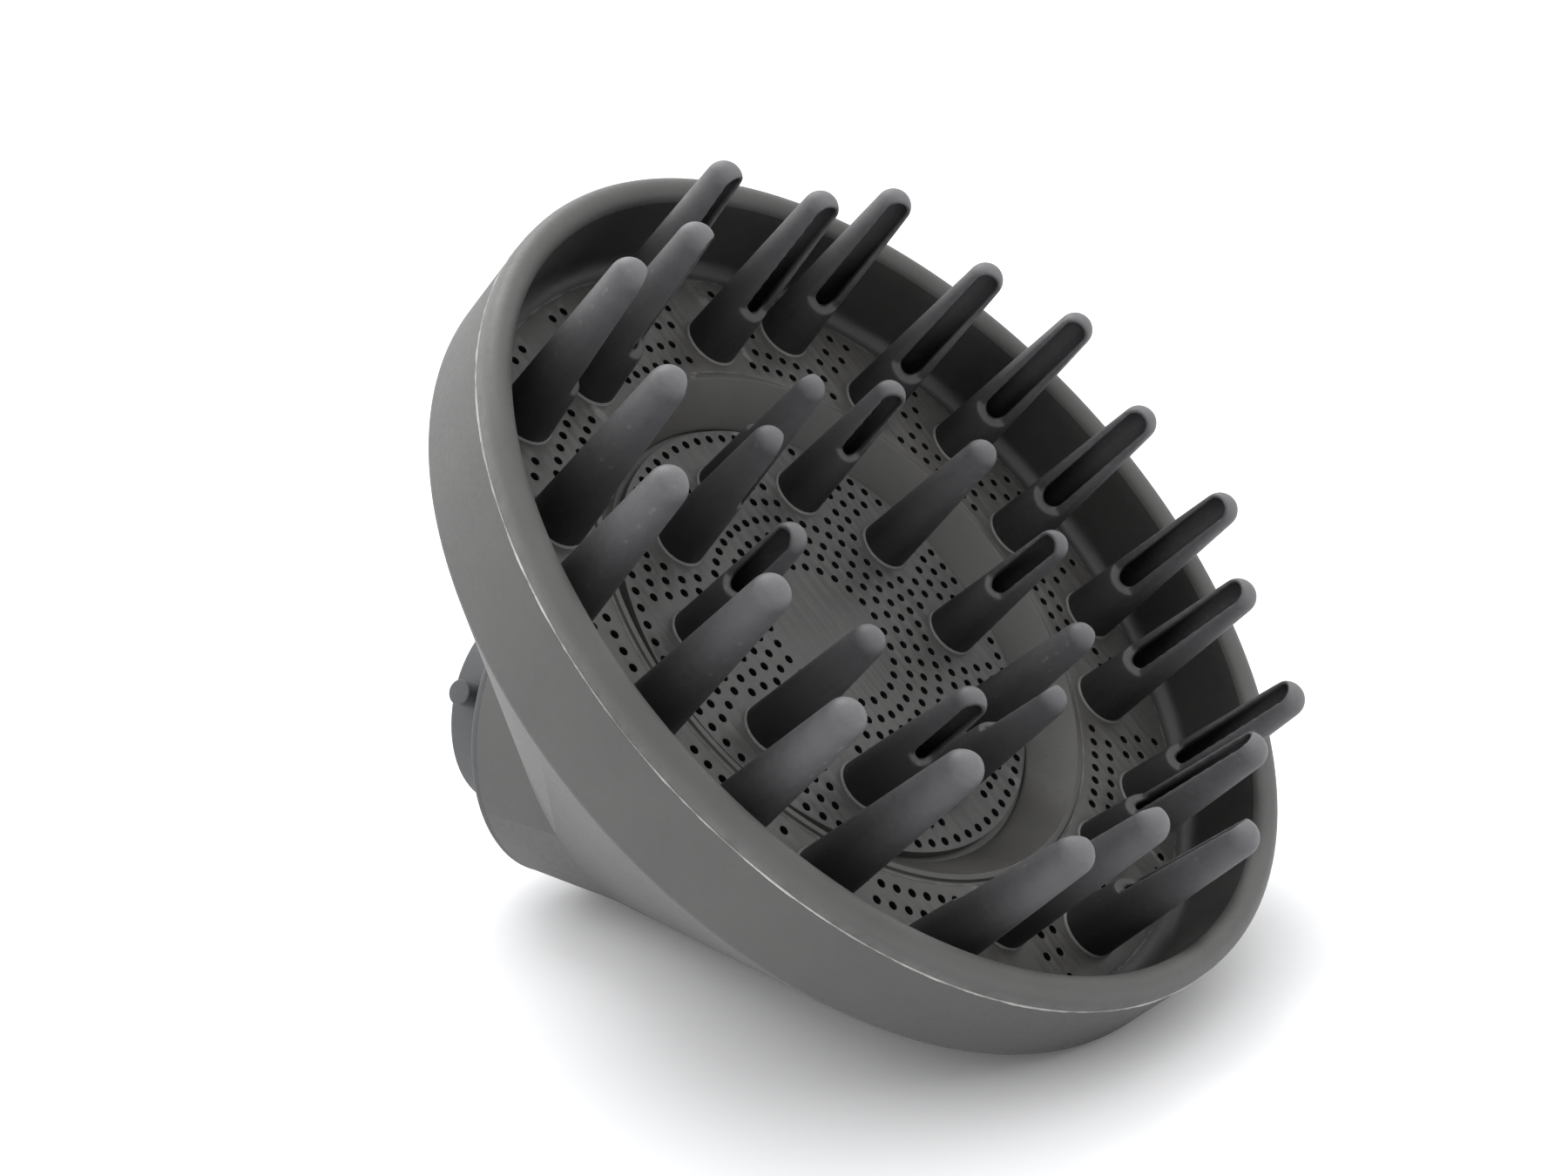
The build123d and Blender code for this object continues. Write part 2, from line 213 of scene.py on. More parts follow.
def painted_foot_shade_and_tip_light_group() -> bpy.types.ShaderNodeTree:
    """Painted shade at the foot and painted light at the tip: a blend along a piece's own Z axis.

    Returns:
        The group's node tree.
    """
    group = NodeGroup("painted_foot_shade_and_tip_light")
    group.takes("Color", "NodeSocketColor", (0.1, 0.1, 0.1, 1))
    group.takes("Foot Shade", "NodeSocketFloat", 0.6)
    group.takes("Tip Shade", "NodeSocketFloat", 1.2)
    group.takes("Height", "NodeSocketFloat", 0.03)
    group.gives("Color", "NodeSocketColor")
    place = group.add("ShaderNodeTexCoord")
    split = group.add("ShaderNodeSeparateXYZ")
    group.link(place.outputs["Object"], split.inputs[0])
    share = group.add("ShaderNodeMapRange", clamp=True)
    share.interpolation_type = "SMOOTHSTEP"
    group.link(split.outputs["Z"], share.inputs["Value"])
    group.link(group.source.outputs["Height"], share.inputs["From Max"])
    group.link(group.source.outputs["Foot Shade"], share.inputs["To Min"])
    group.link(group.source.outputs["Tip Shade"], share.inputs["To Max"])
    shade = group.add("ShaderNodeVectorMath", operation="SCALE")
    group.link(group.source.outputs["Color"], shade.inputs[0])
    group.link(share.outputs["Result"], shade.inputs["Scale"])
    group.link(shade.outputs["Vector"], group.sink.inputs["Color"])
    return group.tree


def hollow_shade_group() -> bpy.types.ShaderNodeTree:
    """Paints shade inside a hollow finger and paints light on what faces up its axis.

    Returns:
        The group's node tree.
    """
    group = NodeGroup("hollow_shade")
    group.takes("Color", "NodeSocketColor", (0.1, 0.1, 0.1, 1))
    group.takes("Foot Radius", "NodeSocketFloat", 0.005)
    group.takes("Tip Radius", "NodeSocketFloat", 0.003)
    group.takes("Height", "NodeSocketFloat", 0.03)
    group.takes("Inside Shade", "NodeSocketFloat", 0.1)
    group.takes("Top Shade", "NodeSocketFloat", 1.6)
    group.gives("Color", "NodeSocketColor")
    place = group.add("ShaderNodeTexCoord")
    split = group.add("ShaderNodeSeparateXYZ")
    group.link(place.outputs["Object"], split.inputs[0])
    lean = group.add("ShaderNodeMath", operation="MULTIPLY_ADD")
    lean.inputs[1].default_value = -FINGER_LEAN
    group.link(split.outputs["Z"], lean.inputs[0])
    group.link(split.outputs["X"], lean.inputs[2])
    flat = group.add("ShaderNodeCombineXYZ")
    group.link(lean.outputs[0], flat.inputs["X"])
    group.link(split.outputs["Y"], flat.inputs["Y"])
    reach = group.add("ShaderNodeVectorMath", operation="LENGTH")
    group.link(flat.outputs[0], reach.inputs[0])
    body = group.add("ShaderNodeMapRange", clamp=True)
    group.link(split.outputs["Z"], body.inputs["Value"])
    group.link(group.source.outputs["Height"], body.inputs["From Max"])
    group.link(group.source.outputs["Foot Radius"], body.inputs["To Min"])
    group.link(group.source.outputs["Tip Radius"], body.inputs["To Max"])
    share = group.add("ShaderNodeMath", operation="DIVIDE")
    group.link(reach.outputs["Value"], share.inputs[0])
    group.link(body.outputs["Result"], share.inputs[1])
    # Painted shade: points close to the finger's axis, inside its hollow, are darkened below the
    # dome.
    inside = group.span(share.outputs[0], 0.6, 0.7)
    group.link(group.source.outputs["Inside Shade"], inside.inputs["To Min"])
    below_dome = group.span(split.outputs["Z"], 0.0, 1.0)
    group.link(group.source.outputs["Height"], below_dome.inputs["From Min"])
    dome_end = group.add("ShaderNodeMath", operation="ADD")
    dome_end.inputs[1].default_value = DOME_BLEND
    group.link(group.source.outputs["Height"], dome_end.inputs[0])
    group.link(dome_end.outputs[0], below_dome.inputs["From Max"])
    either = group.add("ShaderNodeMath", operation="MAXIMUM")
    group.link(inside.outputs["Result"], either.inputs[0])
    group.link(below_dome.outputs["Result"], either.inputs[1])
    # Painted light: faces that point up the piece's own Z axis are made lighter.
    geometry = group.add("ShaderNodeNewGeometry")
    turned = group.add("ShaderNodeVectorTransform", vector_type="NORMAL")
    turned.convert_from, turned.convert_to = "WORLD", "OBJECT"
    group.link(geometry.outputs["Normal"], turned.inputs[0])
    facing = group.add("ShaderNodeSeparateXYZ")
    group.link(turned.outputs[0], facing.inputs[0])
    top = group.span(facing.outputs["Z"], 0.45, 0.95)
    top.inputs["To Min"].default_value = 1.0
    group.link(group.source.outputs["Top Shade"], top.inputs["To Max"])
    both = group.add("ShaderNodeMath", operation="MULTIPLY")
    group.link(either.outputs[0], both.inputs[0])
    group.link(top.outputs["Result"], both.inputs[1])
    shade = group.add("ShaderNodeVectorMath", operation="SCALE")
    group.link(group.source.outputs["Color"], shade.inputs[0])
    group.link(both.outputs[0], shade.inputs["Scale"])
    group.link(shade.outputs["Vector"], group.sink.inputs["Color"])
    return group.tree


# ------------------------------------------------------------------- finishes


@dataclass(frozen=True)
class PlasticFinish:
    """A dark moulded plastic: colours, roughness, grain depth and wear, and on fingers painted
    shade and painted light.
    """

    name: str
    slot: str
    dark: tuple[float, float, float]
    light: tuple[float, float, float]
    roughness: float = 0.6
    grain: float = 0.00006
    specular: float = 0.6
    worn: tuple[float, float, float] = (0.26, 0.26, 0.255)
    wear: float = 0.5
    painted_height_shading: tuple[float, float, float] | None = None
    hollow: tuple[float, float, float] | None = None

    def material(self, groups: dict[str, bpy.types.ShaderNodeTree]) -> bpy.types.Material:
        """Builds the material.

        Args:
            groups: the shared node groups by name.

        Returns:
            The finished material.
        """
        made = bpy.data.materials.new(self.name)
        made.use_nodes = True
        tree = made.node_tree
        shader = tree.nodes["Principled BSDF"]
        shader.inputs["Specular IOR Level"].default_value = self.specular
        grain = self._group(tree, groups["grain"])
        grain.inputs["Dark"].default_value = (*self.dark, 1)
        grain.inputs["Light"].default_value = (*self.light, 1)
        grain.inputs["Base Roughness"].default_value = self.roughness
        wear = self._group(tree, groups["wear"])
        wear.inputs["Worn"].default_value = (*self.worn, 1)
        wear.inputs["Amount"].default_value = self.wear
        tree.links.new(grain.outputs["Color"], wear.inputs["Color"])
        colour = wear.outputs["Color"]
        # Painted shade towards a finger's foot and painted light towards its tip.
        if self.painted_height_shading is not None:
            painted_height_shading = self._group(tree, groups["painted_height_shading"])
            painted_height_shading.inputs["Foot Shade"].default_value = self.painted_height_shading[0]
            painted_height_shading.inputs["Tip Shade"].default_value = self.painted_height_shading[1]
            painted_height_shading.inputs["Height"].default_value = self.painted_height_shading[2]
            tree.links.new(colour, painted_height_shading.inputs["Color"])
            colour = painted_height_shading.outputs["Color"]
        # Painted shade inside a finger's hollow and painted light on its faces that look up its
        # axis.
        if self.hollow is not None:
            hollow = self._group(tree, groups["hollow"])
            hollow.inputs["Foot Radius"].default_value = self.hollow[0]
            hollow.inputs["Tip Radius"].default_value = self.hollow[1]
            hollow.inputs["Height"].default_value = self.hollow[2]
            tree.links.new(colour, hollow.inputs["Color"])
            colour = hollow.outputs["Color"]
        tree.links.new(colour, shader.inputs["Base Color"])
        tree.links.new(grain.outputs["Roughness"], shader.inputs["Roughness"])
        bump = tree.nodes.new("ShaderNodeBump")
        bump.inputs["Strength"].default_value = 0.55
        bump.inputs["Distance"].default_value = self.grain
        tree.links.new(grain.outputs["Height"], bump.inputs["Height"])
        tree.links.new(bump.outputs["Normal"], shader.inputs["Normal"])
        return made

    @staticmethod
    def _group(
        tree: bpy.types.ShaderNodeTree, group: bpy.types.ShaderNodeTree
    ) -> bpy.types.Node:
        """Places a shared group in a material."""
        node = tree.nodes.new("ShaderNodeGroup")
        node.node_tree = group
        return node


HOUSING = PlasticFinish(
    "housing_grey", "housing_plastic", (0.060, 0.059, 0.058), (0.073, 0.072, 0.070), 0.56,
    wear=0.0,
)
COLLAR = PlasticFinish(
    "collar_grey", "collar_plastic", (0.056, 0.058, 0.062), (0.068, 0.070, 0.074), 0.6,
    wear=0.35,
)
RIM = PlasticFinish(
    "rim_grey", "bowl_plastic", (0.058, 0.057, 0.055), (0.073, 0.072, 0.070), 0.5
)
BOWL = PlasticFinish(
    "bowl_grey", "bowl_plastic", (0.044, 0.043, 0.041), (0.062, 0.060, 0.057), 0.42
)
# Painted shade: the inside of the lip and the wall is a much darker copy of the rim's plastic, for
# the shade inside the bowl.
BOWL_WALL_PAINTED_SHADE = PlasticFinish(
    "bowl_wall_painted_shade", "bowl_plastic", (0.018, 0.018, 0.018), (0.030, 0.029, 0.028), 0.42
)
GRILLE = PlasticFinish(
    "grille_grey", "grille_plastic", (0.046, 0.045, 0.044), (0.066, 0.064, 0.062), 0.42
)
# Fingers carry painted shade at the foot and in the hollow, and painted light at the tip and on
# faces that look up their axis.
FINGER = PlasticFinish(
    "finger_grey", "finger_plastic", (0.040, 0.040, 0.043), (0.068, 0.068, 0.071), 0.5,
    grain=0.00009, worn=(0.2, 0.197, 0.19), wear=0.25,
    painted_height_shading=(0.12, 1.4, 0.034), hollow=(0.0052, 0.00335, 0.035),
)
# Short fingers carry the same painted shade and painted light as the long ones.
SHORT_FINGER = PlasticFinish(
    "short_finger_grey", "finger_plastic", (0.038, 0.038, 0.041), (0.064, 0.064, 0.067), 0.5,
    grain=0.00009, worn=(0.2, 0.197, 0.19), wear=0.25,
    painted_height_shading=(0.14, 1.35, 0.028), hollow=(0.0048, 0.003, 0.0275),
)
# Painted shade: the walls of the holes and finger sockets are near black with little sheen, for the
# shade inside them.
HOLE_PAINTED_SHADE = PlasticFinish(
    "hole_painted_shade", "bowl_plastic", (0.006, 0.006, 0.006), (0.01, 0.01, 0.01), 0.8,
    specular=0.1, wear=0.0,
)
FLASH = PlasticFinish(
    "flash_pale", "bowl_plastic", (0.3, 0.295, 0.285), (0.62, 0.61, 0.59), 0.6, wear=0.0
)
FOOT_RIM = PlasticFinish(
    "foot_rim_grey", "bowl_plastic", (0.08, 0.079, 0.076), (0.12, 0.118, 0.114), 0.45
)


@dataclass
class Palette:
    """Every material, made once from the finishes."""

    groups: dict[str, bpy.types.ShaderNodeTree] = field(default_factory=dict)
    made: dict[str, bpy.types.Material] = field(default_factory=dict)

    def __post_init__(self) -> None:
        """Builds the shared node groups."""
        self.groups["grain"] = moulded_grain_group()
        self.groups["wear"] = edge_wear_group()
        self.groups["painted_height_shading"] = painted_foot_shade_and_tip_light_group()
        self.groups["hollow"] = hollow_shade_group()

    def of(self, finish: PlasticFinish) -> bpy.types.Material:
        """Gives the material of a finish."""
        if finish.name not in self.made:
            self.made[finish.name] = finish.material(self.groups)
        return self.made[finish.name]


# --------------------------------------------------------------- the two frames


@dataclass(frozen=True)
class DishFrame:
    """The tilted frame of the dish inside the row frame.

    Its origin is on the dish axis at the joint under the lip, +Z points out of the
    bowl and +X to the side that the neck leans to. Lengths inside it are in mm.
    """

    tilt: float = math.radians(43.5)
    grille_middle: float = -20.7

    def matrix(self) -> Matrix:
        """Gives the move from the dish frame to the row frame, without scale."""
        sine, cosine = math.sin(self.tilt), math.cos(self.tilt)
        turn = Matrix((
            (-sine, 0.0, cosine),
            (0.0, -1.0, 0.0),
            (cosine, 0.0, sine),
        ))
        low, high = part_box("centre_grille")
        axis = Vector((cosine, 0.0, sine))
        centre = (low + high) / 2 - axis * self.grille_middle * MM
        return Matrix.Translation(centre) @ turn.to_4x4()


@dataclass(frozen=True)
class NeckFrame:
    """The neck's own frame: origin at the collar's shoulder, +Z out of the mouth."""

    def matrix(self) -> Matrix:
        """Gives the move from the neck frame to the row frame."""
        turn = Matrix(((0.0, 0.0, -1.0), (0.0, -1.0, 0.0), (-1.0, 0.0, 0.0)))
        return turn.to_4x4()


# ----------------------------------------------------------------- mesh helpers


def arc(centre: Point, radius: float, start: float, end: float, steps: int) -> list[Point]:
    """Points along a round stretch of an outline.

    Args:
        centre: the arc's centre.
        radius: its radius.
        start: the first angle in degrees.
        end: the last angle in degrees.
        steps: how many straight steps it has.

    Returns:
        The points, first and last included.
    """
    angles = [math.radians(start + (end - start) * i / steps) for i in range(steps + 1)]
    return [(centre[0] + radius * math.cos(a), centre[1] + radius * math.sin(a)) for a in angles]


def rounded(outline: list[Point], radii: list[float], steps: int = 4) -> list[Point]:
    """Rounds the corners of a closed outline.

    Args:
        outline: corner points in order.
        radii: a radius for each corner, 0 for a sharp one.
        steps: straight steps in each rounded corner.

    Returns:
        The outline with each rounded corner replaced by an arc's points.
    """
    result: list[Point] = []
    count = len(outline)
    for index, radius in enumerate(radii):
        here = Vector(outline[index])
        before = (Vector(outline[index - 1]) - here)
        after = (Vector(outline[(index + 1) % count]) - here)
        if radius <= 0:
            result.append(tuple(here))
            continue
        before_dir, after_dir = before.normalized(), after.normalized()
        half = before_dir.angle(after_dir) / 2
        cut = min(radius / math.tan(half), 0.48 * before.length, 0.48 * after.length)
        first, last = here + before_dir * cut, here + after_dir * cut
        for step in range(steps + 1):
            t = step / steps
            result.append(tuple(first * (1 - t) ** 2 + here * 2 * t * (1 - t) + last * t * t))
    return result


def lathe(outline: list[Point], segments: int = 256) -> bmesh.types.BMesh:
    """Turns a closed outline of (radius, z) in mm round the Z axis.

    Args:
        outline: the section, in order; points at radius 0 become poles.
        segments: steps round the axis.

    Returns:
        A closed mesh in metres.
    """
    made = bmesh.new()
    rings: list[list[bmesh.types.BMVert]] = []
    for radius, z in outline:
        if radius < 1e-6:
            pole = made.verts.new((0.0, 0.0, z * MM))
            rings.append([pole] * segments)
            continue
        ring = []
        for i in range(segments):
            angle = 2 * math.pi * i / segments
            ring.append(made.verts.new((radius * math.cos(angle) * MM,
                                        radius * math.sin(angle) * MM, z * MM)))
        rings.append(ring)
    for index, ring in enumerate(rings):
        after = rings[(index + 1) % len(rings)]
        for i in range(segments):
            j = (i + 1) % segments
            corners = []
            for vert in (ring[i], ring[j], after[j], after[i]):
                if vert not in corners:
                    corners.append(vert)
            if len(corners) > 2:
                made.faces.new(corners)
    bmesh.ops.recalc_face_normals(made, faces=made.faces)
    return made


def new_piece(name: str, made: bmesh.types.BMesh, sharp: float = 32.0) -> bpy.types.Object:
    """Makes a smooth-shaded object from a mesh.

    Args:
        name: the piece's name.
        made: the mesh, which is freed.
        sharp: edges that turn more than this many degrees stay crisp.

    Returns:
        The linked object.
    """
    mesh = bpy.data.meshes.new(name)
    made.to_mesh(mesh)
    made.free()
    mesh.shade_smooth()
    mesh.set_sharp_from_angle(angle=math.radians(sharp))
    piece = bpy.data.objects.new(name, mesh)
    bpy.context.scene.collection.objects.link(piece)
    return piece


def carve(piece: bpy.types.Object, tool: bpy.types.Object, how: str) -> None:
    """Joins to or cuts from a piece with another closed mesh, which is removed.

    Args:
        piece: the object that is changed.
        tool: the other closed object.
        how: UNION or DIFFERENCE.
    """
    modifier = piece.modifiers.new("carve", "BOOLEAN")
    modifier.operation = how
    modifier.solver = "EXACT"
    modifier.object = tool
    bpy.context.view_layer.update()
    graph = bpy.context.evaluated_depsgraph_get()
    result = bpy.data.meshes.new_from_object(piece.evaluated_get(graph))
    piece.modifiers.clear()
    old = piece.data
    piece.data = result
    bpy.data.meshes.remove(old)
    bpy.data.objects.remove(tool)


def finish_piece(
    piece: bpy.types.Object,
    finish: PlasticFinish,
    palette: Palette,
    marked: PlasticFinish | None = None,
) -> None:
    """Dresses a piece and lets it ride on the body.

    Args:
        piece: the object.
        finish: what it is made of.
        palette: the materials.
        marked: the look of its faces that have the second material index.
    """
    marks = [face.material_index for face in piece.data.polygons]
    piece.data.materials.clear()
    piece.data.materials.append(palette.of(finish))
    if marked is not None:
        piece.data.materials.append(palette.of(marked))
        piece.data.polygons.foreach_set("material_index", marks)
    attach(piece, "root")
    LOG.info("%s: %d faces", piece.name, len(piece.data.polygons))


def polar(radius: float, angle: float) -> Point:
    """Point at a radius and an angle in degrees."""
    return radius * math.cos(math.radians(angle)), radius * math.sin(math.radians(angle))


# ------------------------------------------------------------------- the pieces


@dataclass
class RearHousing:
    """Band, cone and neck in one hollow moulding."""

    band_radius: float = 85.0
    band_rear_radius: float = 84.3
    band_rear_z: float = -15.8
    half_angle: float = 43.5
    cone_end_z: float = -82.3
    wall: float = 2.0
    neck_crossing_z: float = -56.2
    neck_root: float = 33.1
    neck_end: float = 29.8
    neck_length: float = 31.0
    neck_wall: float = 2.2
    shoulder: float = 1.4
    edge_rounding: float = 1.6
    segments: int = 320

    def outer_outline(self) -> list[Point]:
        """Outside of the band and cone, with a rounded rear edge."""
        end_radius = self._cone_radius(self.cone_end_z)
        corners = [
            (0.0, 0.0),
            (self.band_radius, 0.0),
            (self.band_rear_radius, self.band_rear_z),
            (end_radius, self.cone_end_z),
            (0.0, self.cone_end_z),
        ]
        return rounded(corners, [0, 0.25, self.edge_rounding, 0, 0])

    def inner_outline(self) -> list[Point]:
        """The hollow inside the band and cone."""
        slant = self.wall / math.cos(math.radians(self.half_angle))
        end_z = self.cone_end_z + self.wall
        corner_z = self.band_rear_z + 0.8
        return [
            (0.0, 1.0),
            (self.band_radius - self.wall, 1.0),
            (self._cone_radius(corner_z) - slant, corner_z),
            (self._cone_radius(end_z) - slant, end_z),
            (0.0, end_z),
        ]

    def neck_solid(self, name: str, inset: float, low: float, high: float) -> bpy.types.Object:
        """A closed neck cone in the row frame, from `low` to `high` mm before the shoulder."""
        slope = (self.neck_root - self.neck_end) / self.neck_length
        radii = [self.neck_end - inset - slope * z for z in (low, high)]
        outline = [(0.0, high), (radii[1], high), (radii[0], low), (0.0, low)]
        piece = new_piece(name, lathe(outline, self.segments))
        piece.data.transform(NeckFrame().matrix() @ Matrix.Translation((0, 0, -self.shoulder * MM)))
        return piece

    def _cone_radius(self, z: float) -> float:
        """Outer radius of the cone at a height."""
        run = z - self.band_rear_z
        return self.band_rear_radius + run * math.tan(math.radians(self.half_angle))

    def build(self, dish: Matrix, palette: Palette) -> bpy.types.Object:
        """Makes the shell and puts it in place of the CAD node.

        Args:
            dish: the dish frame's matrix.
            palette: the materials.

        Returns:
            The finished piece.
        """
        piece = new_piece("rear_housing_shell", lathe(self.outer_outline(), self.segments))
        piece.data.transform(dish)
        beyond = self._beyond_neck()
        carve(piece, self.neck_solid("neck", 0.0, -self.neck_length, 0.0), "UNION")
        hollow = new_piece("hollow", lathe(self.inner_outline(), self.segments))
        hollow.data.transform(dish)
        carve(piece, hollow, "DIFFERENCE")
        duct = self.neck_solid("duct", self.neck_wall, -self.neck_length, 0.5)
        carve(piece, duct, "DIFFERENCE")
        carve(piece, beyond, "DIFFERENCE")
        piece.data.shade_smooth()
        piece.data.set_sharp_from_angle(angle=math.radians(28))
        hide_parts("rear_housing", "housing_band")
        finish_piece(piece, HOUSING, palette)
        return piece

    def _beyond_neck(self) -> bpy.types.Object:
        """A block that trims what sticks out of the neck's end."""
        outline = [(0.0, 0.0), (60.0, 0.0), (60.0, 40.0), (0.0, 40.0)]
        piece = new_piece("beyond", lathe(outline, 64))
        piece.data.transform(NeckFrame().matrix() @ Matrix.Translation((0, 0, -self.shoulder * MM)))
        return piece


@dataclass
class CollarSleeve:
    """Shoulder, spigot, collar and pegs, in the neck's own frame."""

    shoulder_radius: float = 29.8
    shoulder_thickness: float = 1.4
    spigot_radius: float = 27.45
    spigot_inner: float = 25.65
    spigot_length: float = 5.0
    collar_radius: float = 18.9
    collar_wall: float = 2.0
    collar_length: float = 13.8
    peg_radius: float = 2.4
    peg_height: float = 4.0
    peg_setback: float = 9.4
    peg_angles: tuple[float, ...] = (24.5, 204.5)

    def outline(self) -> list[Point]:
        """Section of the sleeve, from the spigot inside the neck to the mouth."""
        seat = -self.shoulder_thickness
        inner = self.collar_radius - self.collar_wall
        corners = [
            (self.spigot_inner, seat - self.spigot_length),
            (self.spigot_radius, seat - self.spigot_length),
            (self.spigot_radius, seat),
            (self.shoulder_radius, seat),
            (self.shoulder_radius, 0.0),
            (self.collar_radius, 0.0),
            (self.collar_radius, self.collar_length),
            (inner, self.collar_length),
            (inner, seat),
            (self.spigot_inner, seat),
        ]
        return rounded(corners, [0.3, 0.3, 0.2, 0.12, 0.6, 0.8, 0.7, 0.5, 0.5, 0.3])

    def peg_outline(self) -> list[Point]:
        """Section of a peg: a short round stub with a softened end."""
        base = -self.collar_wall / 2
        return rounded(
            [
                (0.0, base),
                (self.peg_radius + PEG_DRAFT, base),
                (self.peg_radius, self.peg_height),
                (0.0, self.peg_height),
            ],
            [0, 0, 0.35, 0],
        )

    def build(self, palette: Palette) -> None:
        """Makes the sleeve and its pegs in place of the CAD node."""
        sleeve = new_piece("collar_sleeve_ring", lathe(self.outline(), 256))
        sleeve.data.transform(NeckFrame().matrix())
        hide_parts("collar_sleeve")
        finish_piece(sleeve, COLLAR, palette)
        for number, angle in enumerate(self.peg_angles, start=1):
            peg = new_piece(f"bayonet_peg_{number}", lathe(self.peg_outline(), 48))
            place = (
                NeckFrame().matrix()
                @ Matrix.Rotation(math.radians(self._turn(angle)), 4, "Z")
                @ Matrix.Translation((self.collar_radius * MM, 0, self.peg_setback * MM))
                @ Matrix.Rotation(math.radians(90), 4, "Y")
            )
            peg.data.transform(place)
            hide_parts("collar_sleeve")
            finish_piece(peg, COLLAR, palette)

    @staticmethod
    def _turn(angle: float) -> float:
        """Angle in the neck frame of a peg that stands `angle` above the -Y side."""
        return 90.0 + angle


@dataclass
class FrontBowl:
    """Lip, wall, perforated floor, slope and ledge, in the dish frame."""

    band_radius: float = 85.0
    lip_inner: float = 80.0
    lip_side: float = 1.9
    lip_crest: float = 4.3
    wall_outer: float = 81.4
    wall_inner: float = 79.6
    floor_z: float = -14.5
    floor_thickness: float = 1.8
    floor_outer: float = 76.0
    floor_inner: float = 54.0
    wall_fillet: float = 3.0
    bead_outer: float = 53.4
    bead_inner: float = 52.1
    bead_height: float = 0.5
    slope_radius: float = 45.7
    slope_z: float = -21.0
    ledge_radius: float = 43.7
    ledge_thickness: float = 1.6
    segments: int = 320

    def lip_outline(self) -> list[Point]:
        """Section of the rolled lip and the wall, down to the floor's edge."""
        under = self.floor_z - self.floor_thickness
        middle = (self.band_radius + self.lip_inner) / 2
        half = (self.band_radius - self.lip_inner) / 2
        rise = self.lip_crest - self.lip_side
        roll = [(middle + half * math.cos(a), self.lip_side + rise * math.sin(a))
                for a in (math.pi * i / 14 for i in range(15))]
        corner = arc((self.wall_inner - self.wall_fillet, self.floor_z + self.wall_fillet),
                     self.wall_fillet, 0.0, -90.0, 8)
        return [
            (self.floor_outer, under),
            (self.wall_outer - EDGE_CHAMFER, under),
            (self.wall_outer, under + EDGE_CHAMFER),
            (self.wall_outer, 0.0),
            (self.band_radius - 0.2, 0.0),
            (self.band_radius, 0.25),
            *roll,
            (self.lip_inner - 0.15, 0.9),
            (self.wall_inner + 0.05, -0.6),
            *corner,
            (self.floor_outer, self.floor_z),
        ]

    def slope_outline(self) -> list[Point]:
        """Section of the bead, the slope and the ledge."""
        under = self.floor_z - self.floor_thickness
        ledge_top = GRILLE_UNDERSIDE
        bead_top = self.floor_z + self.bead_height
        corners = [
            (self.floor_inner, self.floor_z),
            (self.bead_outer, self.floor_z),
            (self.bead_outer - 0.25, bead_top),
            (self.bead_inner, bead_top),
            (self.slope_radius, self.slope_z),
            (self.slope_radius, ledge_top),
            (self.ledge_radius, ledge_top),
            (self.ledge_radius, ledge_top - self.ledge_thickness),
            (self.slope_radius + 0.8, ledge_top - self.ledge_thickness),
            (self.bead_outer, under),
            (self.floor_inner, under),
        ]
        return rounded(corners, [0, 0.2, 0.2, 0.35, 0.3, 0, 0, 0, 0, 0, 0])

    def build(self, dish: Matrix, fingers: "FingerSet", palette: Palette) -> None:
        """Makes the lip, the floor plate and the slope in place of the CAD node."""
        lip = new_piece("bowl_lip_and_wall", lathe(self.lip_outline(), self.segments))
        slope = new_piece("bowl_slope", lathe(self.slope_outline(), self.segments))
        plate = PerforatedPlate(
            outer=self.floor_outer,
            inner=self.floor_inner,
            top=self.floor_z,
            thickness=self.floor_thickness,
            holes=Perforations().floor_holes(),
            sockets=[(polar(s.foot_r, s.angle), s.foot_radius - 0.4) for s in fingers.outer()],
        ).build("bowl_floor")
        # Faces inside the lip take the second material, the wall's painted shade.
        for face in lip.data.polygons:
            inside = math.hypot(*face.center.xy) < (self.lip_inner - 0.05) * MM
            face.material_index = int(inside)
        dressing = (
            (lip, "bowl_rim", RIM, BOWL_WALL_PAINTED_SHADE),
            (slope, "bowl_floor", BOWL, None),
            (plate, "bowl_floor", BOWL, HOLE_PAINTED_SHADE),
        )
        for piece, node, finish, marked in dressing:
            piece.data.transform(dish)
            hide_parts(node)
            finish_piece(piece, finish, palette, marked)


@dataclass
class Perforations:
    """Rows of round holes, as (radius, angles either side of the row's centre)."""

    sectors: int = 10
    floor_rows: tuple = (
        (56.8, (0.0, 3.25, 6.5, 9.75)),
        (60.5, (1.55, 4.7, 7.8)),
        (64.8, (7.3, 10.5)),
        (68.7, (8.8, 12.0)),
        (73.3, (9.8, 12.9)),
    )
    grille_rows: tuple = (
        (28.5, (0.0, 6.1)),
        (32.0, (2.6,)),
        (35.6, (0.0, 5.1)),
        (39.15, (2.3, 6.8)),
    )
    grille_rings: tuple = ((14.4, 27), (18.0, 34), (21.2, 40), (24.8, 52), (42.75, 78))

    def _rows(self, rows: tuple, first: float) -> list[Point]:
        """Hole centres of rows that repeat in each sector."""
        centres = []
        for sector in range(self.sectors):
            for radius, angles in rows:
                both = sorted({sign * a for a in angles for sign in (-1, 1)})
                middle = first + sector * 360.0 / self.sectors
                centres += [polar(radius, middle + a) for a in both]
        return centres

    def floor_holes(self) -> list[Point]:
        """Hole centres of the bowl's floor."""
        return self._rows(self.floor_rows, 0.0)

    def grille_holes(self) -> list[Point]:
        """Hole centres of the centre grille."""
        rings = [polar(radius, 360.0 * i / count)
                 for radius, count in self.grille_rings for i in range(count)]
        return self._rows(self.grille_rows, 18.0) + rings


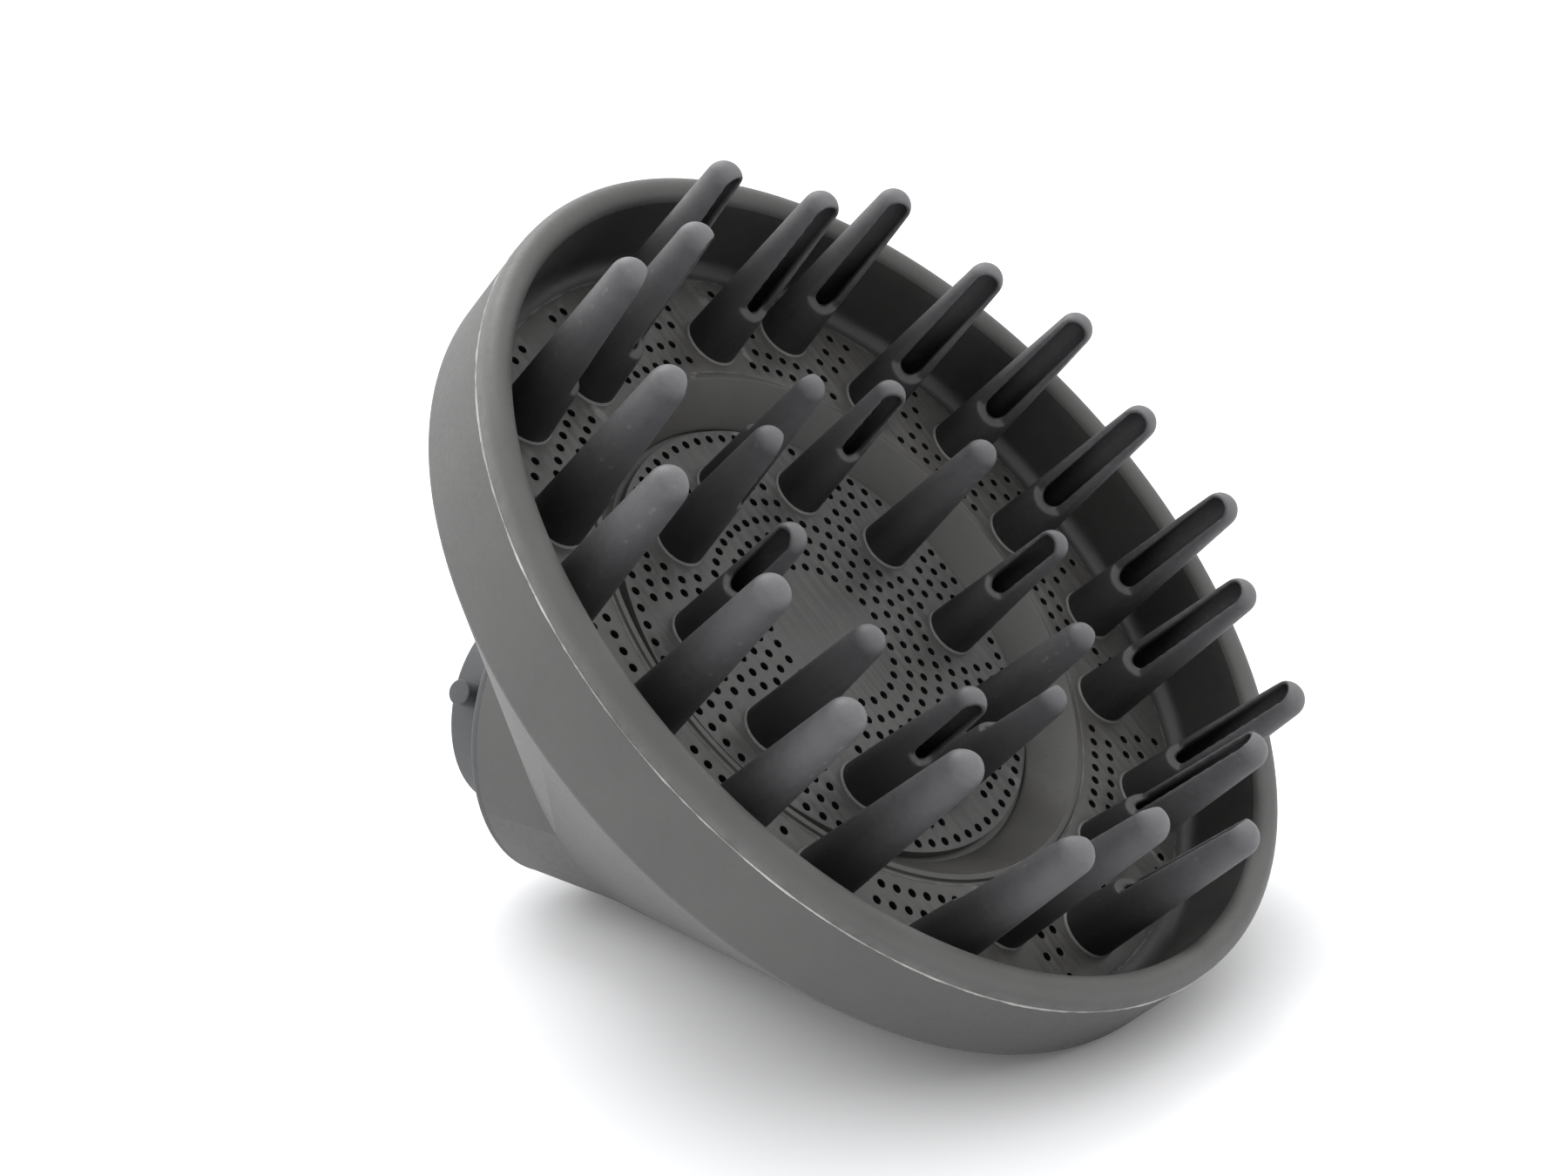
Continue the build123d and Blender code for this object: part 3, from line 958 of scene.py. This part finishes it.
@dataclass
class PerforatedPlate:
    """A flat round plate with softly rounded hole rims."""

    outer: float
    inner: float
    top: float
    thickness: float
    holes: list[Point]
    sockets: list[tuple[Point, float]]
    hole_radius: float = 0.8
    rim: float = 0.1

    def _circle(self, curve: bpy.types.Curve, centre: Point, radius: float, steps: int) -> None:
        """Adds one closed round outline to a flat curve."""
        spline = curve.splines.new("POLY")
        spline.points.add(steps - 1)
        for i in range(steps):
            angle = 2 * math.pi * (i + 0.5) / steps
            spline.points[i].co = (
                (centre[0] + radius * math.cos(angle)) * MM,
                (centre[1] + radius * math.sin(angle)) * MM,
                0.0,
                1.0,
            )
        spline.use_cyclic_u = True

    def build(self, name: str) -> bpy.types.Object:
        """Makes the plate as a mesh.

        Args:
            name: the piece's name.

        Returns:
            The object, with its place in its mesh.
        """
        curve = bpy.data.curves.new(name + "_outline", "CURVE")
        curve.dimensions = "2D"
        curve.fill_mode = "BOTH"
        curve.bevel_depth = self.rim * MM
        curve.bevel_resolution = 2
        curve.offset = -self.rim * MM
        curve.extrude = (self.thickness / 2 - self.rim) * MM
        self._circle(curve, (0.0, 0.0), self.outer, 320)
        if self.inner > 0:
            self._circle(curve, (0.0, 0.0), self.inner, 320)
        for centre in self.holes:
            self._circle(curve, centre, self.hole_radius, 20)
        for centre, radius in self.sockets:
            self._circle(curve, centre, radius, 40)
        holder = bpy.data.objects.new(name + "_outline", curve)
        bpy.context.scene.collection.objects.link(holder)
        bpy.context.view_layer.update()
        graph = bpy.context.evaluated_depsgraph_get()
        mesh = bpy.data.meshes.new_from_object(holder.evaluated_get(graph))
        bpy.data.objects.remove(holder)
        made = bmesh.new()
        made.from_mesh(mesh)
        bpy.data.meshes.remove(mesh)
        bmesh.ops.remove_doubles(made, verts=made.verts, dist=1e-7)
        bmesh.ops.recalc_face_normals(made, faces=made.faces)
        # Upright faces inside the plate, the hole and socket walls, take the second material, the
        # painted shade.
        for face in made.faces:
            upright = abs(face.normal.z) < 0.3
            reach = math.hypot(*face.calc_center_median().xy) / MM
            face.material_index = int(upright and self.inner < reach < self.outer - 0.3)
        piece = new_piece(name, made, sharp=50.0)
        piece.data.transform(Matrix.Translation((0, 0, (self.top - self.thickness / 2) * MM)))
        return piece


@dataclass
class CentreGrille:
    """Perforated disc in the middle, with the moulding's gate mark."""

    radius: float = 44.5
    top: float = -19.8
    thickness: float = 1.8
    gate_place: tuple[float, float] = (16.4, 298.6)

    def build(self, dish: Matrix, fingers: "FingerSet", palette: Palette) -> None:
        """Makes the disc and the gate mark in place of the CAD node."""
        plate = PerforatedPlate(
            outer=self.radius,
            inner=0.0,
            top=self.top,
            thickness=self.thickness,
            holes=Perforations().grille_holes(),
            sockets=[(polar(s.foot_r, s.angle), s.foot_radius - 0.4) for s in fingers.inner()],
        ).build("grille_disc")
        gate = new_piece("gate_mark", lathe(rounded(
            [(0.0, -0.3), (0.75, -0.3), (0.55, 0.18), (0.0, 0.12)], [0, 0, 0.1, 0]), 24))
        spot = polar(*self.gate_place)
        gate.data.transform(Matrix.Translation((spot[0] * MM, spot[1] * MM, self.top * MM)))
        for piece, marked in ((plate, HOLE_PAINTED_SHADE), (gate, None)):
            piece.data.transform(dish)
            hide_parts("centre_grille")
            finish_piece(piece, GRILLE, palette, marked)


@dataclass(frozen=True)
class FingerSeat:
    """Where one finger stands on the dish."""

    node: str
    kind: FingerKind
    angle: float
    foot_r: float
    foot_z: float
    foot_radius: float

    def matrix(self, dish: Matrix) -> Matrix:
        """Gives the finger's own frame: foot at the origin, -X to the dish axis."""
        return (
            dish
            @ Matrix.Rotation(math.radians(self.angle), 4, "Z")
            @ Matrix.Translation((self.foot_r * MM, 0, self.foot_z * MM))
        )


@dataclass
class FingerSet:
    """All the air fingers, with softened moulded edges."""

    outer_count: int = 20
    inner_count: int = 10
    far_radius: float = 68.0
    near_radius: float = 61.0
    inner_radius: float = 32.5
    floor_z: float = -14.5
    grille_z: float = -19.8
    outer_foot: float = 5.2
    inner_foot: float = 4.8
    voxel: float = 0.00028
    softening: int = 4

    def outer(self) -> list[FingerSeat]:
        """Seats of the outer fingers, standing out and in by turns."""
        seats = []
        for i in range(self.outer_count):
            near = i % 2 == 1
            kind = FingerKind.OUTER_NEAR if near else FingerKind.OUTER_FAR
            radius = self.near_radius if near else self.far_radius
            seats.append(FingerSeat(
                f"outer_finger_{i + 1:02d}", kind, -i * 360.0 / self.outer_count,
                radius, self.floor_z, self.outer_foot))
        return seats

    def inner(self) -> list[FingerSeat]:
        """Seats of the inner fingers, open to the rim and to the centre by turns."""
        seats = []
        for i in range(self.inner_count):
            kind = FingerKind.INNER_OPEN_IN if i % 2 == 1 else FingerKind.INNER_OPEN_OUT
            seats.append(FingerSeat(
                f"inner_finger_{i + 1:02d}", kind, -i * 360.0 / self.inner_count,
                self.inner_radius, self.grille_z, self.inner_foot))
        return seats

    def pattern(self, seat: FingerSeat, dish: Matrix) -> bpy.types.Mesh:
        """Softens the CAD shape of one kind of finger.

        Args:
            seat: a seat whose node is the pattern for its kind.
            dish: the dish frame's matrix.

        Returns:
            A mesh in the finger's own frame.
        """
        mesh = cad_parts[seat.node].data.copy()
        mesh.transform(seat.matrix(dish).inverted())
        holder = bpy.data.objects.new("pattern", mesh)
        bpy.context.scene.collection.objects.link(holder)
        weld = holder.modifiers.new("weld", "WELD")
        weld.merge_threshold = 1e-7
        remesh = holder.modifiers.new("even", "REMESH")
        remesh.mode = "VOXEL"
        remesh.voxel_size = self.voxel
        smooth = holder.modifiers.new("soften", "SMOOTH")
        smooth.factor = 0.5
        smooth.iterations = self.softening
        bpy.context.view_layer.update()
        graph = bpy.context.evaluated_depsgraph_get()
        soft = bpy.data.meshes.new_from_object(holder.evaluated_get(graph))
        soft.name = f"{seat.kind.name.lower()}_finger"
        soft.shade_smooth()
        bpy.data.objects.remove(holder)
        bpy.data.meshes.remove(mesh)
        return soft

    def build(self, dish: Matrix, palette: Palette) -> None:
        """Makes every finger in place of its CAD node."""
        patterns: dict[FingerKind, bpy.types.Mesh] = {}
        for seat in self.outer() + self.inner():
            if seat.kind not in patterns:
                patterns[seat.kind] = self.pattern(seat, dish)
            piece = bpy.data.objects.new(f"{seat.node}_soft", patterns[seat.kind])
            bpy.context.scene.collection.objects.link(piece)
            piece.matrix_world = seat.matrix(dish)
            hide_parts(seat.node)
            outer = seat.kind in (FingerKind.OUTER_FAR, FingerKind.OUTER_NEAR)
            finish = FINGER if outer else SHORT_FINGER
            finish_piece(piece, finish, palette)

    def foot_rims(self, dish: Matrix, palette: Palette) -> None:
        """Makes a raised rim round each finger's foot, in a lighter grey than the fingers."""
        for name, seats in (("outer_foot_rims", self.outer()), ("inner_foot_rims", self.inner())):
            joined = bmesh.new()
            for seat in seats:
                radius = seat.foot_radius
                outline = [(radius - 0.3, -0.1), (radius + 0.35, -0.1), (radius + 0.33, 0.05),
                           (radius + 0.16, 0.14), (radius - 0.02, 0.3), (radius - 0.3, 0.3)]
                ring = lathe(outline, 48)
                mesh = bpy.data.meshes.new("ring")
                ring.to_mesh(mesh)
                ring.free()
                mesh.transform(seat.matrix(dish))
                joined.from_mesh(mesh)
                bpy.data.meshes.remove(mesh)
            piece = new_piece(name, joined, sharp=60.0)
            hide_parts("bowl_floor" if "outer" in name else "centre_grille")
            finish_piece(piece, FOOT_RIM, palette)


@dataclass
class RimFlash:
    """The thin pale ragged flash on the joint between the band and the lip."""

    radius: float = 84.97
    height: float = 0.24
    depth: float = 0.2
    steps: int = 1440
    seed: int = 7

    def build(self, dish: Matrix, palette: Palette) -> None:
        """Makes the flash as a narrow closed band of uneven height."""
        chance = random.Random(self.seed)
        made = bmesh.new()
        rings = []
        level = 0.5
        for i in range(self.steps):
            level = min(1.0, max(0.1, level + chance.uniform(-0.22, 0.22)))
            angle = 2 * math.pi * i / self.steps
            high = self.height * level
            out = self.depth * (0.4 + 0.6 * level)
            section = [(-0.2, -high), (out, -high * 0.3), (out, high * 0.3), (-0.2, high)]
            rings.append([
                made.verts.new(((self.radius + r) * math.cos(angle) * MM,
                                (self.radius + r) * math.sin(angle) * MM, z * MM))
                for r, z in section
            ])
        for i, ring in enumerate(rings):
            after = rings[(i + 1) % len(rings)]
            for j in range(4):
                k = (j + 1) % 4
                made.faces.new((ring[j], ring[k], after[k], after[j]))
        bmesh.ops.recalc_face_normals(made, faces=made.faces)
        piece = new_piece("rim_flash", made, sharp=60.0)
        piece.data.transform(dish)
        finish_piece(piece, FLASH, palette)


# ----------------------------------------------------------------------- studio


@dataclass
class Studio:
    """Plain pale floor, soft lights and the camera."""

    floor_size: float = 6.0
    world_range: tuple[float, float] = (0.72, 1.5)
    bright_side: tuple[float, float, float] = (-0.5, 0.0, 0.75)
    floor_tone: tuple[float, float, float] = (0.93, 0.935, 0.945)
    camera_place: tuple[float, float, float] = (0.29837, -0.38299, 0.16596)
    camera_target: tuple[float, float, float] = (0.05246, -0.01269, 0.04193)
    camera_roll: float = -1.737
    focal_length: float = 61.647
    shift: tuple[float, float] = (0.01681, -0.02181)

    def floor(self) -> None:
        """Lays the floor at the object's lowest point."""
        made = bmesh.new()
        half = self.floor_size / 2
        signs = ((-1, -1), (1, -1), (1, 1), (-1, 1))
        corners = [made.verts.new((x * half, y * half, 0)) for x, y in signs]
        made.faces.new(corners)
        bmesh.ops.subdivide_edges(made, edges=made.edges, cuts=8, use_grid_fill=True)
        floor = new_piece("floor", made)
        floor.location = (0, 0, CAD_BOX[0].z - 0.0001)
        paper = bpy.data.materials.new("floor_paper")
        paper.use_nodes = True
        tree = paper.node_tree
        shader = tree.nodes["Principled BSDF"]
        shader.inputs["Roughness"].default_value = 0.9
        shader.inputs["Specular IOR Level"].default_value = 0.1
        shader.inputs["Base Color"].default_value = (*self.floor_tone, 1)
        floor.data.materials.append(paper)

    def world(self) -> None:
        """Surrounds the scene with white that is brighter on one side."""
        world = bpy.data.worlds.new("white_room")
        world.use_nodes = True
        tree = world.node_tree
        back = tree.nodes["Background"]
        back.inputs["Color"].default_value = (1.0, 1.0, 1.0, 1)
        place = tree.nodes.new("ShaderNodeTexCoord")
        side = tree.nodes.new("ShaderNodeVectorMath")
        side.operation = "DOT_PRODUCT"
        side.inputs[1].default_value = Vector(self.bright_side).normalized()
        tree.links.new(place.outputs["Generated"], side.inputs[0])
        glow = tree.nodes.new("ShaderNodeMapRange")
        glow.interpolation_type = "SMOOTHSTEP"
        glow.inputs["From Min"].default_value = -1.0
        glow.inputs["From Max"].default_value = 1.0
        glow.inputs["To Min"].default_value = self.world_range[0]
        glow.inputs["To Max"].default_value = self.world_range[1]
        tree.links.new(side.outputs["Value"], glow.inputs["Value"])
        rays = tree.nodes.new("ShaderNodeLightPath")
        choose = tree.nodes.new("ShaderNodeMix")
        choose.inputs["B"].default_value = 1.0
        tree.links.new(rays.outputs["Is Camera Ray"], choose.inputs["Factor"])
        tree.links.new(glow.outputs["Result"], choose.inputs["A"])
        tree.links.new(choose.outputs["Result"], back.inputs["Strength"])
        bpy.context.scene.world = world

    def light(self, name: str, place: tuple, target: tuple, size: float, power: float) -> None:
        """Adds one square soft light.

        Args:
            name: the light's name.
            place: where it stands.
            target: what it points at.
            size: the length of its sides in metres.
            power: watts.
        """
        lamp = bpy.data.lights.new(name, "AREA")
        lamp.shape = "SQUARE"
        lamp.size = size
        lamp.energy = power
        holder = bpy.data.objects.new(name, lamp)
        holder.location = place
        aim = Vector(target) - Vector(place)
        holder.rotation_euler = aim.to_track_quat("-Z", "Y").to_euler()
        bpy.context.scene.collection.objects.link(holder)

    def lights(self) -> None:
        """Adds the lights."""
        self.light("window", (-0.6, 0.35, 1.0), (0.07, 0.0, 0.03), 0.8, 7.0)
        self.light("side", (-0.9, -0.2, 0.4), (0.07, 0.0, 0.03), 0.8, 2.0)

    def camera(self) -> None:
        """Puts the camera at its place, level apart from a small roll."""
        data = bpy.data.cameras.new("camera")
        data.sensor_width = 36.0
        data.lens = self.focal_length
        data.shift_x, data.shift_y = self.shift
        data.clip_start = 0.01
        holder = bpy.data.objects.new("camera", data)
        aim = Vector(self.camera_target) - Vector(self.camera_place)
        level = aim.to_track_quat("-Z", "Y").to_matrix().to_4x4()
        roll = Matrix.Rotation(math.radians(self.camera_roll), 4, "Z")
        holder.matrix_world = Matrix.Translation(self.camera_place) @ level @ roll
        bpy.context.scene.collection.objects.link(holder)
        bpy.context.scene.camera = holder

    def build(self) -> None:
        """Makes the whole studio."""
        self.camera()
        self.floor()
        self.world()
        self.lights()
        bpy.context.scene.view_settings.view_transform = "Standard"


def main() -> None:
    """Builds the studio and every piece in order."""
    logging.basicConfig(level=logging.INFO)
    Studio().build()
    palette = Palette()
    dish = DishFrame().matrix()
    fingers = FingerSet()
    RearHousing().build(dish, palette)
    CollarSleeve().build(palette)
    FrontBowl().build(dish, fingers, palette)
    CentreGrille().build(dish, fingers, palette)
    fingers.build(dish, palette)
    fingers.foot_rims(dish, palette)
    RimFlash().build(dish, palette)


if __name__ == "__main__":
    main()
